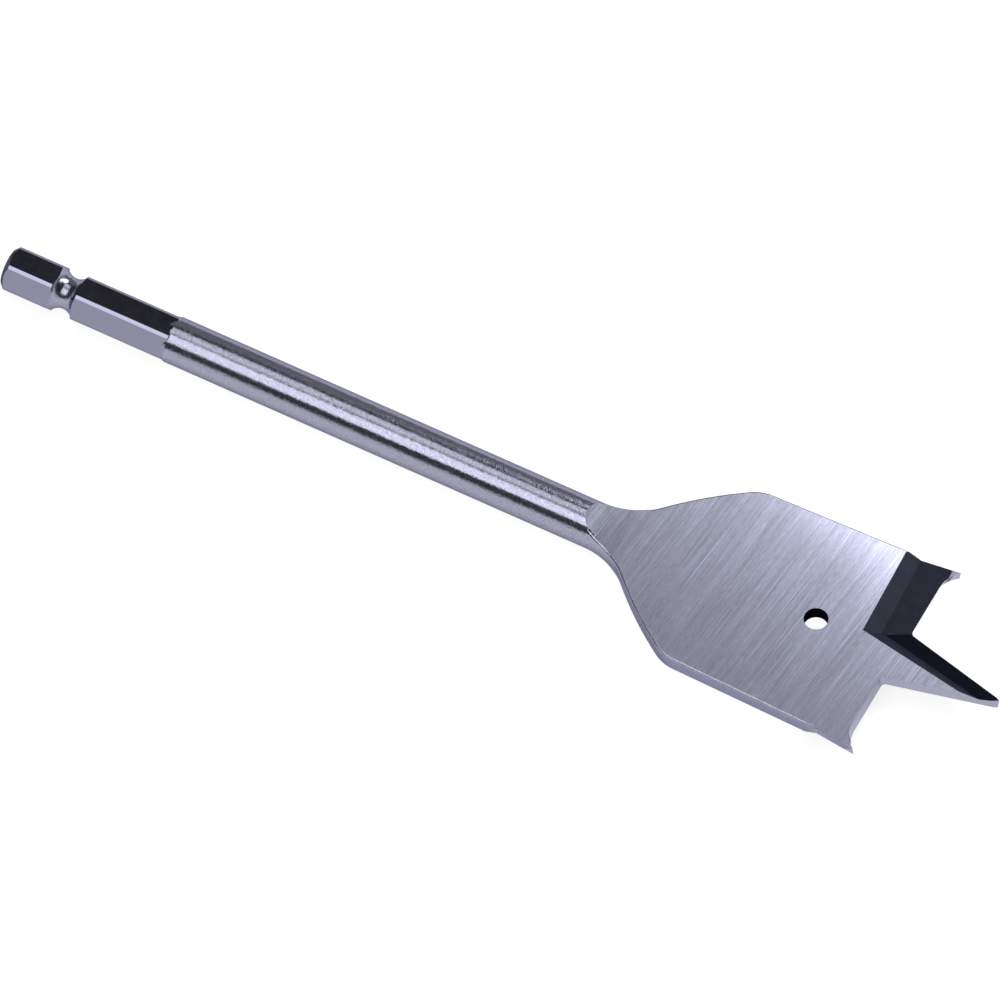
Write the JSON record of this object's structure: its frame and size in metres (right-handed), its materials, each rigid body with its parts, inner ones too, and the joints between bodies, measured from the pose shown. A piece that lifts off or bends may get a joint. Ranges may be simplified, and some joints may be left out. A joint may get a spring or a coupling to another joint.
{
  "type": "spade drill bit",
  "caption": "Flat wood-boring bit with a hex quick-change shank, round shaft and broad ground blade with a centre point, hollow-ground lips, scoring spurs and a pull hole.",
  "frame": {"origin": "centre of the end face of the hex shank, on the axis of the bit", "axes": "+X runs along the axis from the shank to the tip, Y across the blade from spur to spur, +Z square to the blade's flats and up as the bit lies"},
  "size_m": [0.152, 0.032, 0.0066],
  "materials": {
    "steel": "bright ground tool steel, brushed across the blade, darker in the hollow-ground grooves"
  },
  "bodies": {
    "root": {"spade_bit": "steel"}
  },
  "joints": []
}
